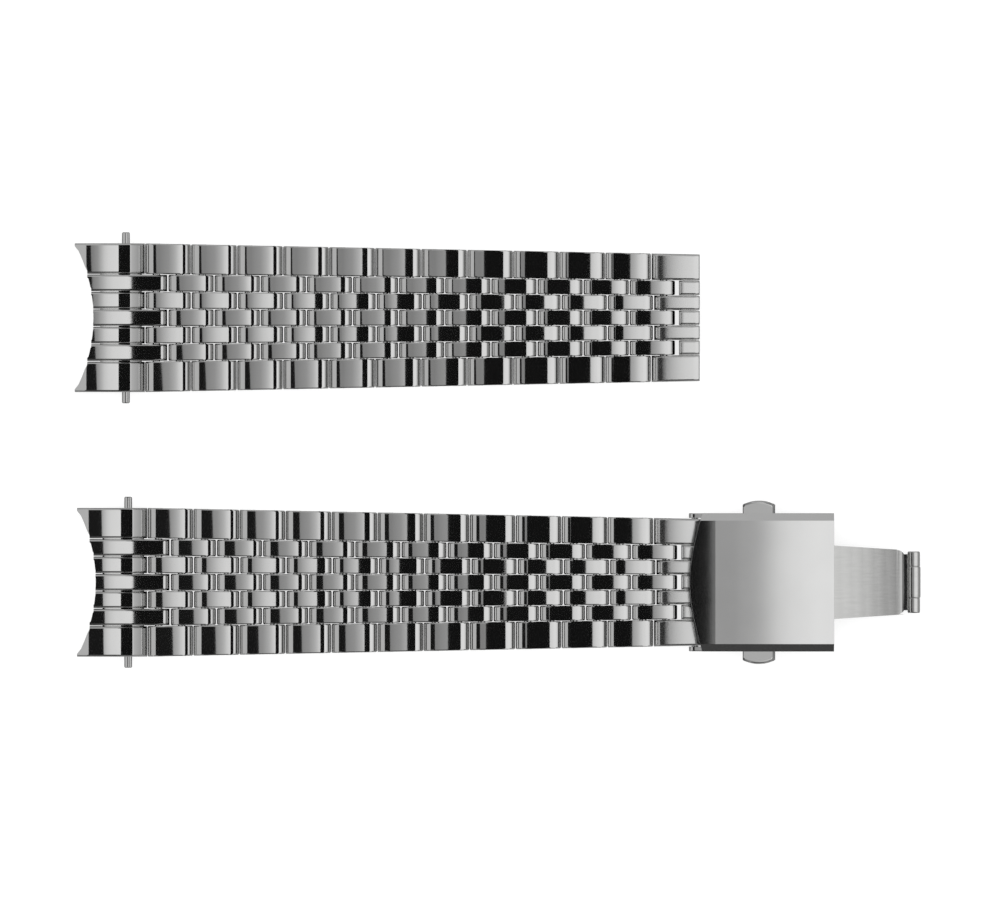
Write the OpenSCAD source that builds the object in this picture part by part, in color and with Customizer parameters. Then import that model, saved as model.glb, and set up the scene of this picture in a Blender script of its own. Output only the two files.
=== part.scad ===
// Steel watch bracelet: two tapering halves of hinged links, lying side by side, with solid end
// links, spring bars and a folding clasp with two push buttons.
// X runs along the bracelet from the watch to the clasp, Y across it and Z up. The wrist side of
// every link lies on z = 0, and the origin is the centre of the underside of the whole set.

/* [Fit on the watch] */
// Width between the watch lugs
lug_w = 20; // [18:0.5:22]
// Play of the end link between the lugs, both sides together
lug_play = 0.1; // [0.05:0.05:0.4]
// Radius of the watch case that the end link lies against
case_r = 20.9; // [18:0.1:26]
// Distance from the spring bar to the case
case_reach = 4.31; // [3.8:0.01:5]
// Thickness of the end link at its crest
end_link_h = 4.4; // [4.3:0.05:4.8]
// How far a spring bar tip stands out of the end link
tip_out = 1.5; // [1:0.05:2]
// Diameter of a spring bar tip
tip_d = 1.05; // [0.8:0.05:1.1]
// Travel of a spring bar tip
tip_travel = 1.4; // [1:0.05:1.8]
// Diameter of a tip's shoulder
shoulder_d = 1.4; // [1.35:0.05:1.5]
// Diameter of a spring bar
bar_d = 2; // [1.95:0.05:2.1]

/* [Links] */
// Rows of each kind in one half
row_count = 11; // [5:1:11]
// Width of the bracelet at the clasp
clasp_end_w = 16.94; // [15.5:0.02:18]
// Distance between neighbouring hinge pins
pin_pitch = 3.087; // [3:0.001:3.4]
// Distance from the spring bar to the first hinge pin
first_pin = 4.07; // [3.9:0.01:4.6]
// Diameter of a hinge pin
pin_d = 1; // [0.8:0.05:1.2]
// Height of the hinge pins over the wrist side
pin_z = 1.3; // [1.2:0.05:1.4]
// Share of the width that each outer column takes
outer_share = 0.207; // [0.18:0.001:0.24]
// Gap between two links of one column
link_gap = 0.18; // [0.1:0.01:0.4]
// Gap between neighbouring columns
side_gap = 0.08; // [0.06:0.01:0.14]
// Thickness of a link
link_h = 2.8; // [2.76:0.01:2.84]
// Radius of the flat middle of a link's crown
crown_r = 20; // [16:1:30]
// Radius of the crown's shoulders
shoulder_r = 3.4; // [3:0.1:4]
// How far the shoulders run past a hinge pin
crown_reach = 0.98; // [0.9:0.02:1.04]
// Width of the grooves that part the columns of a solid piece
groove_w = 0.3; // [0.2:0.02:0.5]
// Depth of those grooves
groove_d = 0.3; // [0.2:0.02:0.5]

/* [End pieces] */
// Distance from the last hinge pin to the straight end
end_piece_reach = 4.82; // [4.4:0.02:5.4]
// Thickness of an end piece at its crest
end_piece_h = 2.75; // [2.65:0.05:2.85]
// Radius of the end piece's top along the bracelet
end_top_r = 16; // [14:0.5:20]
// Distance from the straight end to the cross pin
cross_inset = 0.95; // [0.9:0.01:1]
// Height of the cross pin
cross_z = 0.95; // [0.9:0.05:1]
// Diameter of the cross pin and of the clasp's hinge pins
clasp_pin_d = 0.9; // [0.7:0.05:0.95]
// Depth of the pockets that take the last centre links
pocket_gap = 0.45; // [0.2:0.05:0.6]

/* [Clasp cover] */
// Length of the cover
cover_l = 19.31; // [18.8:0.1:21]
// Play of the end piece between the cover's side walls, on each side
cover_play = 0.13; // [0.1:0.01:0.3]
// Thickness of the side walls
wall_t = 0.65; // [0.5:0.05:0.75]
// Thickness of the top plate
plate_t = 0.9; // [0.7:0.05:1.1]
// How far the cover laps over the end piece, past the cross pin
cover_lap = 0.725; // [0.6:0.005:0.8]
// Radius of the cover's rounded left edge, seen from above
cover_edge_r = 22.4; // [20:0.1:30]
// Width of the bevels along the cover, seen from above
cover_bevel = 1; // [0.6:0.05:1.2]
// Drop of those bevels
bevel_drop = 0.65; // [0.4:0.05:0.8]
// Radius of the ears round the cross pin
ear_r = 0.8; // [0.75:0.01:0.9]
// Radius of the wrist curve, at the underside of the outer blade
arch_r = 58; // [50:1:70]

/* [Clasp blades] */
// Distance from the cross pin to the hinge between the blades
blade_hinge = 2.23; // [2.2:0.01:2.4]
// Distance from the cross pin to the hinge in the cover
cover_hinge = 17.43; // [17:0.01:17.5]
// Distance from the cross pin to the tube at the end of the outer blade
tube_reach = 29.3; // [28.5:0.1:31]
// Thickness of the outer blade
outer_t = 0.8; // [0.6:0.05:0.8]
// Thickness of the inner blade
inner_t = 0.7; // [0.5:0.05:0.7]
// Gap between the blades
blade_gap = 0.1; // [0.1:0.01:0.15]
// Width of the outer blade at its hinge
outer_w = 12; // [11.6:0.1:12.6]
// Width of the outer blade at the tube
outer_end_w = 8.6; // [8.2:0.1:9]
// Width of the inner blade
inner_w = 12.4; // [12:0.1:13.4]
// Length of the tube
tube_l = 8.1; // [7.5:0.1:8.2]
// Diameter of the tube
tube_d = 1.54; // [1.5:0.01:1.7]
// Diameter of the tube's middle part
tube_mid_d = 1.74; // [1.7:0.01:1.8]
// Length of the tube's middle part
tube_mid_l = 4.06; // [3.6:0.01:4.6]
// Diameter of the tube's bore
tube_bore = 1; // [0.9:0.05:1.05]

/* [Buttons and catch] */
// Distance from the cross pin to the middle of the buttons
button_reach = 8.81; // [8.4:0.01:9.4]
// Length of a button along the bracelet
button_l = 4.12; // [3.8:0.02:4.4]
// Height of a button
button_h = 2.3; // [2:0.05:2.4]
// How far a button stands out of the cover
button_out = 1.66; // [1.4:0.02:1.9]
// Radius of a button's face, seen from above
button_face_r = 4.3; // [4:0.1:8]
// Travel of a button
button_travel = 0.75; // [0.6:0.05:0.8]
// Width of the catch post's head
catch_w = 3.4; // [3:0.1:3.6]

/* [Fits] */
// Radial clearance of a running pin
running_fit = 0.05; // [0.04:0.005:0.06]
// Radial clearance of a pin that is pressed in
pressed_fit = 0.01; // [0.005:0.005:0.015]
// Clearance of sliding and folding parts
slide_fit = 0.06; // [0.05:0.005:0.08]

/* [Placing] */
// Distance between the middle lines of the two halves
half_spacing = 35.4; // [32:0.1:50]
// How far the half with the clasp lies further along
half_shift = 0.31; // [0:0.01:2]

/* [Hidden] */
$fn = 64;
COLUMNS = 7;
STEEL = [0.72, 0.71, 0.69];
BRUSHED = [0.62, 0.62, 0.61];
tall = 12;

function two(n) = str(n < 10 ? "0" : "", n);
HALVES = ["12", "06"];
ROWS = [for (half = HALVES, k = [1:row_count]) each
    [str("outer_row_", half, "_", two(k)), str("centre_row_", half, "_", two(k))]];

// Widths and columns
end_link_w = lug_w - lug_play;
end_r = (pin_pitch - link_gap) / 2;
taper_start = first_pin - pin_pitch / 2;
last_pin = pin_s(2 * row_count + 1);
end_s = last_pin + end_piece_reach;
inner_share = (1 - 2 * outer_share) / (COLUMNS - 2);
function pin_s(k) = first_pin + (k - 1) * pin_pitch;
function row_w(s) = end_link_w - (end_link_w - clasp_end_w)
    * max(0, (s - taper_start) / (end_s - taper_start));
function edge_share(i) = i == 0 ? 0 : i == COLUMNS ? 1 : outer_share + (i - 1) * inner_share;
function edge_y(i, s) = (edge_share(i) - 0.5) * row_w(s);
function half_gap(i, gap) = i == 0 || i == COLUMNS ? 0 : gap / 2;

// Side profile of a link: a flat crown with two shoulders that meet it without a crease
shoulder_edge = pin_pitch / 2 + crown_reach;
shoulder_x = 1.1;
blend_turn = asin(shoulder_x / (crown_r - shoulder_r));
blend_x = crown_r * sin(blend_turn);
shoulder_z = link_h - crown_r + (crown_r - shoulder_r) * cos(blend_turn);

// Side profile of the end link
crest_s = -3.83;
crest_r = 9.5;
crest_left = -4.6;
crest_right = -1.08;
chamfer_s = -5.4;
chamfer_turn = 30;
left_turn = 7;
slope_end = 0.65;
slope_turn = 20;
facet_end = 1.95;
facet_turn = 36;
finger_crest_r = 17.7;
finger_slope_s = 0.9;
finger_join = 0.85;
lip_r = end_r - 0.1;
lip_s = first_pin - end_r - link_gap - lip_r;
bar_z = 1.5;
case_corner = case_reach + case_r - sqrt(pow(case_r, 2) - pow(end_link_w / 2, 2));

// Spring bars
bar_l = end_link_w - 0.2;
bar_cap = 0.8;
tip_head_l = 1.5;
tip_head_r = shoulder_d / 2 + 0.1;
bar_bore_r = tip_head_r + running_fit;
spring_room = 2 * (bar_l / 2 - bar_cap - running_fit - tip_head_l - tip_travel);

// End pieces
end_top_s = last_pin + 0.42;
cross_s = end_s - cross_inset;
cross_r = clasp_pin_d / 2 + running_fit;
knuckle_swing = 1.3;
tube_z = tube_mid_d / 2 + 0.03;
notch_w = tube_l + 1.1;
notch_top = cross_z + tube_mid_d / 2 + 0.1;
notch_depth = cross_inset + tube_mid_d / 2 + 0.15;

// Clasp, measured from the cross pin
arch_u = (blade_hinge + tube_reach) / 2;
arch_z = 0.02 - sqrt(pow(arch_r, 2) - pow((tube_reach - blade_hinge) / 2, 2));
inner_0 = outer_t + blade_gap;
inner_1 = inner_0 + inner_t;
finger_0 = inner_1 + 0.15;
finger_t = 0.6;
head_0 = finger_0 + finger_t + 0.05;
head_t = 0.55;
plate_0 = head_0 + head_t + 0.45;
plate_1 = plate_0 + plate_t;
wall_0 = 0.1;
inner_room = clasp_end_w / 2 + cover_play;
cover_w = 2 * (inner_room + wall_t);
knuckle_r = 0.78;
blade_hinge_h = (outer_t + inner_0) / 2 - 0.03;
cover_hinge_r = 0.8;
cover_hinge_h = outer_t + 0.15 + cover_hinge_r;
hinge_l = 12.2;
hinge_mid_l = 7.6;
cover_right = cover_l - cover_lap;
cover_corner = cover_edge_r - sqrt(pow(cover_edge_r, 2) - pow(cover_w / 2 - cover_bevel, 2));
button_mid = (wall_0 + plate_1) / 2 - 0.05;
post_l = 2;
post_neck_w = 2.4;
catch_room = 0.5;
arm_w = 1;
arm_gap = 0.35;
arm_x = post_l / 2 + arm_gap;
finger_w = 0.8;
flange_t = 0.7;
button_spring_d = 1.2;
spring_x = arm_x + arm_w + button_spring_d;
flange_l = 2 * spring_x + button_spring_d + 0.3;

function arch_point(u, h) = arch_z + sqrt(pow(arch_r + h, 2) - pow(u - arch_u, 2));

// Placing of the set
set_l = half_shift + cross_s + tube_reach + tube_mid_d / 2 + case_corner;
bar_x = case_corner - set_l / 2;

module half_12() translate([bar_x, half_spacing / 2, 0]) children();
module half_06() translate([bar_x + half_shift, -half_spacing / 2, 0]) children();
module clasp() half_06() translate([cross_s, 0, 0]) children();

// Turns a side profile drawn in x and z into a solid of the given width across the bracelet
module across(w) rotate([90, 0, 0]) linear_extrude(height = w, center = true) children();
module cross_pin(s, z, r, w) translate([s, 0, z]) rotate([90, 0, 0]) cylinder(r = r, h = w, center = true);

// The room of one column between two places along the half
module column(i, s0, s1, gap) {
    low = half_gap(i, gap);
    high = half_gap(i + 1, gap);
    linear_extrude(height = tall)
        polygon([[s0, edge_y(i, s0) + low], [s1, edge_y(i, s1) + low],
                 [s1, edge_y(i + 1, s1) - high], [s0, edge_y(i + 1, s0) - high]]);
}

// Links and their pins
module link_side()
    intersection() {
        translate([-pin_pitch, 0]) square([2 * pin_pitch, tall]);
        union() {
            for (side = [-1, 1]) {
                translate([side * pin_pitch / 2, pin_z]) circle(r = end_r);
                intersection() {
                    translate([side * shoulder_x, shoulder_z]) circle(r = shoulder_r, $fn = 96);
                    translate([side * (blend_x + shoulder_edge) / 2, tall / 2])
                        square([shoulder_edge - blend_x, tall], center = true);
                }
            }
            intersection() {
                translate([0, link_h - crown_r]) circle(r = crown_r, $fn = 240);
                translate([-blend_x, 0]) square([2 * blend_x, tall]);
            }
        }
    }

module links(columns, s0, s1)
    for (i = columns)
        intersection() {
            column(i, s0 - pin_pitch, s1 + pin_pitch, side_gap);
            translate([(s0 + s1) / 2, 0, 0]) across(2 * lug_w) link_side();
        }

module hinge_pin(s) cross_pin(s, pin_z, pin_d / 2, row_w(s) - 0.1);

module outer_row(k) color(STEEL) {
    pins = [pin_s(2 * k - 1), pin_s(2 * k)];
    difference() {
        links([0, 2, 4, 6], pins[0], pins[1]);
        for (s = pins) cross_pin(s, pin_z, pin_d / 2 + pressed_fit, 2 * lug_w);
    }
    for (s = pins) hinge_pin(s);
}

module centre_row(k) color(STEEL) {
    pins = [pin_s(2 * k), pin_s(2 * k + 1)];
    difference() {
        links([1, 3, 5], pins[0], pins[1]);
        for (s = pins) cross_pin(s, pin_z, pin_d / 2 + running_fit, 2 * lug_w);
    }
}

// End links. The profile's inset draws in its top, for the floor of the grooves
function crest_z(s, r) = end_link_h - r + sqrt(pow(r, 2) - pow(s - crest_s, 2));

module crest(r, left, right, inset)
    intersection() {
        translate([crest_s, end_link_h - r]) circle(r = r - inset, $fn = 240);
        translate([left, 0]) square([right - left, tall]);
    }

module end_link_hump(inset) {
    z1 = crest_z(crest_left, crest_r) - inset;
    z0 = z1 - (crest_left - chamfer_s) * tan(left_turn);
    z2 = crest_z(crest_right, crest_r) - inset;
    z3 = z2 - (slope_end - crest_right) * tan(slope_turn);
    z4 = z3 - (facet_end - slope_end) * tan(facet_turn);
    start = -case_corner - 1;
    crest(crest_r, crest_left, crest_right, inset);
    polygon([[start, 0], [start, z0 - (chamfer_s - start) * tan(chamfer_turn)], [chamfer_s, z0],
             [crest_left, z1], [crest_left, 0]]);
    polygon([[crest_right, 0], [crest_right, z2], [slope_end, z3], [facet_end, z4], [facet_end, 0]]);
    intersection() {
        translate([lip_s, pin_z]) circle(r = lip_r - inset);
        translate([0, 0]) square([tall, tall]);
    }
    translate([-1, 0]) square([1 + lip_s, pin_z]);
}

module end_link_finger()
    intersection() {
        translate([crest_right - 1, 0]) square([tall, tall]);
        union() {
            translate([first_pin, pin_z]) circle(r = end_r);
            crest(finger_crest_r, crest_right - 1, finger_slope_s, 0);
            polygon([[finger_slope_s, 0], [finger_slope_s, crest_z(finger_slope_s, finger_crest_r)],
                     [first_pin + finger_join, pin_z + sqrt(pow(end_r, 2) - pow(finger_join, 2))],
                     [first_pin + finger_join, pin_z], [first_pin, 0]]);
        }
    }

module end_link() color(STEEL)
    difference() {
        union() {
            for (i = [0:COLUMNS - 1])
                intersection() {
                    column(i, -case_corner, taper_start, groove_w);
                    across(2 * lug_w) end_link_hump(0);
                }
            intersection() {
                translate([-case_corner, -end_link_w / 2 + 1, 0]) cube([case_corner + lip_s, end_link_w - 2, tall]);
                across(2 * lug_w) end_link_hump(groove_d);
            }
            for (i = [1, 3, 5])
                intersection() {
                    column(i, crest_right - 1, first_pin + end_r + 1, side_gap + 0.04);
                    across(2 * lug_w) end_link_finger();
                }
        }
        translate([-case_reach - case_r, 0, -1]) cylinder(r = case_r, h = tall, $fn = 200);
        cross_pin(0, bar_z, bar_d / 2 + running_fit, 2 * lug_w);
        cross_pin(first_pin, pin_z, pin_d / 2 + running_fit, 2 * lug_w);
    }

// Spring bars: a barrel with a sprung tip at each end
module about_y() rotate([-90, 0, 0]) rotate_extrude() children();

module bar_barrel() {
    edge = 0.15;
    end = bar_l / 2;
    bore = shoulder_d / 2 + running_fit;
    outline = [[bar_d / 2, end - edge], [bar_d / 2 - edge, end], [bore, end],
               [bore, end - bar_cap], [bar_bore_r, end - bar_cap]];
    about_y() polygon(concat(outline, [for (i = [len(outline) - 1:-1:0]) [outline[i][0], -outline[i][1]]]));
}

module coil(len, r, wire_r, turns) {
    around = 12;
    sides = 5;
    rings = around * turns;
    points = [for (i = [0:rings], j = [0:sides - 1])
        let (t = 360 * i / around, a = 360 * j / sides, reach = r + wire_r * cos(a))
        [reach * cos(t), (len / 2 - wire_r) * (2 * i / rings - 1) + wire_r * sin(a), reach * sin(t)]];
    sleeve = [for (i = [0:rings - 1], j = [0:sides - 1]) each
        let (a = i * sides + j, b = i * sides + (j + 1) % sides)
        [[a, b + sides, b], [a, a + sides, b + sides]]];
    ends = [[for (j = [0:sides - 1]) j], [for (j = [sides - 1:-1:0]) rings * sides + j]];
    polyhedron(points, concat(sleeve, ends));
}

module spring_bar() {
    color(STEEL) bar_barrel();
    color(BRUSHED) coil(spring_room - 0.1, bar_bore_r - 0.22, 0.12, 14);
}

module spring_bars() {
    half_12() translate([0, 0, bar_z]) spring_bar();
    half_06() translate([0, 0, bar_z]) spring_bar();
}

module bar_tip() color(STEEL) about_y() {
    head = bar_l / 2 - bar_cap - running_fit;
    out = end_link_w / 2 + tip_out;
    polygon([[0, head - tip_head_l], [tip_head_r, head - tip_head_l], [tip_head_r, head],
             [shoulder_d / 2, head], [shoulder_d / 2, end_link_w / 2], [tip_d / 2, end_link_w / 2],
             [tip_d / 2, out - 0.12], [tip_d / 2 - 0.12, out], [0, out]]);
}

module tip_left() translate([0, 0, bar_z]) bar_tip();
module tip_right() translate([0, 0, bar_z]) mirror([0, 1, 0]) bar_tip();

// End pieces
module end_piece_side(inset, start)
    intersection() {
        translate([start, 0]) square([end_s - start, tall]);
        translate([end_top_s, end_piece_h - end_top_r]) circle(r = end_top_r - inset, $fn = 240);
        union() {
            translate([last_pin, pin_z]) circle(r = end_r - inset);
            translate([last_pin, 0]) square([cross_s - last_pin, tall]);
            translate([cross_s, cross_z]) circle(r = knuckle_swing - inset / 2);
        }
    }

module end_piece(notched) color(BRUSHED) {
    pocket_s = last_pin + end_r + pocket_gap;
    difference() {
        union() {
            for (i = [0:COLUMNS - 1])
                intersection() {
                    column(i, last_pin - pin_pitch, end_s + 1, groove_w);
                    across(2 * lug_w) end_piece_side(0, i % 2 == 0 ? last_pin - pin_pitch : pocket_s);
                }
            intersection() {
                translate([0, -clasp_end_w / 2 + 1, 0]) cube([2 * end_s, clasp_end_w - 2, tall]);
                across(2 * lug_w) end_piece_side(groove_d, pocket_s + 0.1);
            }
        }
        cross_pin(last_pin, pin_z, pin_d / 2 + pressed_fit, 2 * lug_w);
        cross_pin(cross_s, cross_z, cross_r, 2 * lug_w);
        if (notched)
            translate([end_s - notch_depth, -notch_w / 2, -1]) cube([notch_depth + 1, notch_w, 1 + notch_top]);
    }
    hinge_pin(last_pin);
}

// Clasp. A ring is drawn as radius and width about the centre of the wrist curve
module wrist_ring() {
    turn = 22;
    translate([arch_u, 0, arch_z]) rotate([90, 0, 0]) rotate([0, 0, 90 - turn])
        rotate_extrude(angle = 2 * turn, $fn = 360) children();
}

module ring_plate(h0, h1, w) wrist_ring() translate([arch_r + h0, -w / 2]) square([h1 - h0, w]);

// Places its children on the wrist curve, with their z along its radius
module on_curve(u, h = 0) {
    a = asin((u - arch_u) / (arch_r + h));
    translate([u, 0, arch_point(u, h)]) rotate([0, a, 0]) children();
}

module clasp_pin(u, h, r, w) cross_pin(u, arch_point(u, h), r, w);

module cover_plan() {
    translate([cover_edge_r - cover_lap, 0]) intersection() {
        circle(r = cover_edge_r, $fn = 240);
        translate([-cover_edge_r, -cover_w]) square([cover_l, 2 * cover_w]);
    }
}

module clasp_cover() color(BRUSHED) clasp() {
    ear_join = cover_corner - cover_lap + 0.3;
    half = cover_w / 2;
    difference() {
        union() {
            intersection() {
                linear_extrude(height = tall) cover_plan();
                wrist_ring() polygon([
                    [arch_r + wall_0, -half], [arch_r + plate_1 - bevel_drop, -half],
                    [arch_r + plate_1, cover_bevel - half], [arch_r + plate_1, half - cover_bevel],
                    [arch_r + plate_1 - bevel_drop, half], [arch_r + wall_0, half]]);
            }
            across(cover_w) polygon([[0, cross_z - ear_r], [0, cross_z + ear_r],
                [ear_join - 0.2, arch_point(ear_join, plate_0)], [ear_join + 1, arch_point(ear_join, plate_0)],
                [ear_join + 1, cross_z - ear_r]]);
            cross_pin(0, cross_z, ear_r, cover_w);
        }
        across(2 * inner_room) cover_room();
        cross_pin(0, cross_z, clasp_pin_d / 2 + pressed_fit, 2 * cover_w);
        clasp_pin(cover_hinge, cover_hinge_h, clasp_pin_d / 2 + pressed_fit, 2 * cover_w);
        on_curve(button_reach) translate([0, 0, button_mid])
            cube([button_l + 2 * slide_fit, 2 * cover_w, button_h + 2 * slide_fit], center = true);
    }
}

// The room under the top plate, seen from the side
module cover_room()
    intersection() {
        translate([arch_u, arch_z]) circle(r = arch_r + plate_0, $fn = 480);
        translate([-tall, -1]) square([3 * tall, tall]);
    }

module clasp_pins() color(STEEL) clasp() {
    cross_pin(0, cross_z, clasp_pin_d / 2, cover_w - 0.1);
    clasp_pin(cover_hinge, cover_hinge_h, clasp_pin_d / 2, cover_w - 0.1);
}

// Blades. The one that hangs in the cover has the outer knuckles of the hinge between them
module inner_blade() color(BRUSHED) clasp() {
    knuckle_l = (hinge_l - hinge_mid_l) / 2 - slide_fit;
    clear = blade_hinge + knuckle_r + 0.1;
    difference() {
        union() {
            intersection() {
                ring_plate(inner_0, inner_1, inner_w);
                union() {
                    translate([clear, -inner_w / 2, 0]) cube([cover_hinge - clear, inner_w, tall]);
                    for (side = [-1, 1])
                        translate([blade_hinge, side * (hinge_l - knuckle_l) / 2 - knuckle_l / 2, 0])
                            cube([clear, knuckle_l, tall]);
                }
            }
            for (side = [-1, 1])
                translate([0, side * (hinge_l - knuckle_l) / 2, 0])
                    clasp_pin(blade_hinge, blade_hinge_h, knuckle_r, knuckle_l);
            clasp_pin(cover_hinge, cover_hinge_h, cover_hinge_r, 2 * inner_room - 0.2);
        }
        clasp_pin(blade_hinge, blade_hinge_h, clasp_pin_d / 2 + pressed_fit, cover_w);
        clasp_pin(cover_hinge, cover_hinge_h, clasp_pin_d / 2 + running_fit, cover_w);
        on_curve(button_reach)
            translate([-post_l / 2 - catch_room, -catch_w / 2 - 0.3, inner_0 - 0.5])
                cube([post_l + 2 * catch_room, catch_w + 0.6, inner_t + 1]);
    }
    clasp_pin(blade_hinge, blade_hinge_h, clasp_pin_d / 2, hinge_l - 0.1);
}

module outer_plan() {
    start = blade_hinge + knuckle_r + 0.1;
    stop = tube_reach - 1.2;
    round_r = 1;
    taper = (outer_w - outer_end_w) / (stop - blade_hinge);
    near = outer_w / 2 - taper * (start - blade_hinge) / 2;
    far = outer_end_w / 2;
    difference() {
        polygon([[start, -near], [stop, -far], [stop, far], [start, near]]);
        for (side = [-1, 1]) difference() {
            translate([stop - round_r, side * (far - round_r / 2) - round_r / 2]) square(2 * round_r);
            translate([stop - round_r, side * (far - round_r)]) circle(r = round_r);
            translate([stop - 2 * round_r, side * (far - 1.5 * round_r) - round_r / 2])
                square([3 * round_r, round_r]);
        }
    }
    translate([blade_hinge, -hinge_mid_l / 2]) square([start + 1 - blade_hinge, hinge_mid_l]);
    translate([stop - 2, -tube_l / 2 + 0.3]) square([tube_reach - stop + 2, tube_l - 0.6]);
}

module outer_blade() color(BRUSHED) clasp() {
    difference() {
        union() {
            intersection() {
                ring_plate(0, outer_t, 2 * outer_w);
                linear_extrude(height = tall) outer_plan();
            }
            clasp_pin(blade_hinge, blade_hinge_h, knuckle_r, hinge_mid_l);
            cross_pin(tube_reach, tube_z, tube_d / 2, tube_l);
            cross_pin(tube_reach, tube_z, tube_mid_d / 2, tube_mid_l);
            on_curve(button_reach) catch_post();
        }
        clasp_pin(blade_hinge, blade_hinge_h, clasp_pin_d / 2 + running_fit, cover_w);
        cross_pin(tube_reach, tube_z, tube_bore / 2, cover_w);
    }
}

module catch_post() {
    translate([-post_l / 2, -post_neck_w / 2, outer_t / 2])
        cube([post_l, post_neck_w, head_0 + head_t / 2 - outer_t / 2]);
    rotate([90, 0, 90]) linear_extrude(height = post_l, center = true)
        polygon([[-catch_w / 2, head_0], [catch_w / 2, head_0], [catch_w / 2, head_0 + head_t / 2],
                 [catch_w / 2 - 0.4, head_0 + head_t], [0.4 - catch_w / 2, head_0 + head_t],
                 [-catch_w / 2, head_0 + head_t / 2]]);
}

// Buttons, drawn for the left one, which is pressed towards -Y
module button() {
    wall = inner_room;
    face = cover_w / 2 + button_out;
    finger_y = -catch_w / 2 - slide_fit;
    bevel = 0.3;
    h = button_h / 2;
    intersection() {
        translate([0, face - button_face_r, button_mid - h])
            cylinder(r = button_face_r, h = button_h, $fn = 120);
        translate([-button_l / 2, 0, 0]) cube([button_l, tall, tall]);
        rotate([90, 0, 90]) linear_extrude(height = tall, center = true)
            translate([0, button_mid]) polygon([[wall - flange_t, -h], [face - bevel, -h], [face, bevel - h],
                [face, h - bevel], [face - bevel, h], [wall - flange_t, h]]);
    }
    translate([-flange_l / 2, wall - slide_fit - flange_t, button_mid - h + 0.1])
        cube([flange_l, flange_t, button_h - 0.2]);
    translate([arm_x, finger_y - finger_w, finger_0])
        cube([arm_w, wall - flange_t + finger_w - finger_y, finger_t + 0.5]);
    translate([-post_l / 2 + 0.1, finger_y - finger_w, finger_0])
        cube([arm_x + post_l / 2, finger_w, finger_t]);
}

module button_left() color(STEEL) clasp() on_curve(button_reach) button();
module button_right() color(STEEL) clasp() on_curve(button_reach) rotate([0, 0, 180]) button();

module button_springs() color(BRUSHED) clasp() on_curve(button_reach)
    for (side = [-1, 1])
        translate([side * spring_x, 0, finger_0 + button_spring_d / 2 + 0.1])
            coil(2 * (inner_room - flange_t - slide_fit - button_travel) - 0.2,
                 button_spring_d / 2 - 0.1, 0.1, 12);

half_12() end_link();  // end_link_12
half_06() end_link();  // end_link_06
spring_bars();
half_12() tip_left();  // tip_12_left
half_12() tip_right();  // tip_12_right
half_06() tip_left();  // tip_06_left
half_06() tip_right();  // tip_06_right
for (k = [1:row_count]) {
    half_12() outer_row(k);
    half_12() centre_row(k);
    half_06() outer_row(k);
    half_06() centre_row(k);
}
half_12() end_piece(true);  // end_piece_12
half_06() end_piece(false);  // end_piece_06
clasp_cover();
clasp_pins();
inner_blade();
outer_blade();
button_left();
button_right();
button_springs();
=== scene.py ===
"""Steel watch bracelet with a folding clasp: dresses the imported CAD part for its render.

Lengths are in millimetres, measured along, across and above each half, until a piece is put in its place."""
import math

import bmesh
import bpy
from bpy.props import FloatProperty, FloatVectorProperty, PointerProperty
from bpy.types import Operator, Panel, PropertyGroup
from mathutils import Matrix, Vector


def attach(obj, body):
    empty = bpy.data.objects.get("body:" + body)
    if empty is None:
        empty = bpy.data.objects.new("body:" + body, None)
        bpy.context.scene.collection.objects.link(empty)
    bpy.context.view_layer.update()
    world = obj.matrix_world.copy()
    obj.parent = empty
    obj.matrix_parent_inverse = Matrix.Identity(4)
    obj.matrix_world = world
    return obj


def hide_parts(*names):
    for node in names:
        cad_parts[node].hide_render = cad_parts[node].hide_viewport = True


bl_info = {
    "name": "Steel watch bracelet",
    "version": (1, 0, 0),
    "blender": (4, 5, 0),
    "location": "3D View > Sidebar > Bracelet",
    "description": "Builds the link rows, end links, end pieces and folding clasp of a steel watch bracelet",
    "category": "Add Mesh",
}

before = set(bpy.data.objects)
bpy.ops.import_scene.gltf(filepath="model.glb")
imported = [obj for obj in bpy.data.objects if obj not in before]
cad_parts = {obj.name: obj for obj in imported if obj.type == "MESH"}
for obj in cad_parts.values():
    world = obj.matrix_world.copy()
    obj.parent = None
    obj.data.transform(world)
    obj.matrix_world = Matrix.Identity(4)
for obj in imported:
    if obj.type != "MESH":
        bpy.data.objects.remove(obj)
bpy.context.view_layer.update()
MM = 0.001

# Sizes that follow the CAD, with places along a half measured from its spring bar
ROWS = 11
FIRST_PIN, PITCH, PIN_Z, PIN_R = 4.07, 3.087, 1.3, 0.5
PIN_PLAY, LINK_R = 0.05, 1.4535
END_LINK_W, CLASP_END_W = 19.9, 16.94
TAPER_START = FIRST_PIN - PITCH / 2
LAST_PIN = FIRST_PIN + 2 * ROWS * PITCH
END_REACH, CROSS_INSET, CROSS_Z = 4.82, 0.95, 0.95
END_S = LAST_PIN + END_REACH
CROSS_S = END_S - CROSS_INSET
TAPER = (END_LINK_W - CLASP_END_W) / (END_S - TAPER_START)
OUTER_SHARE, COLUMNS = 0.207, 7
INNER_SHARE = (1 - 2 * OUTER_SHARE) / (COLUMNS - 2)
BAR_Z, BAR_R, CASE_R, CASE_REACH = 1.5, 1.0, 20.9, 4.31
THROUGH = 12  # reach of a cutting rod past the middle, beyond both sides
WELD = 1e-4  # points closer than this are one
ROD_SIDES = 48

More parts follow.
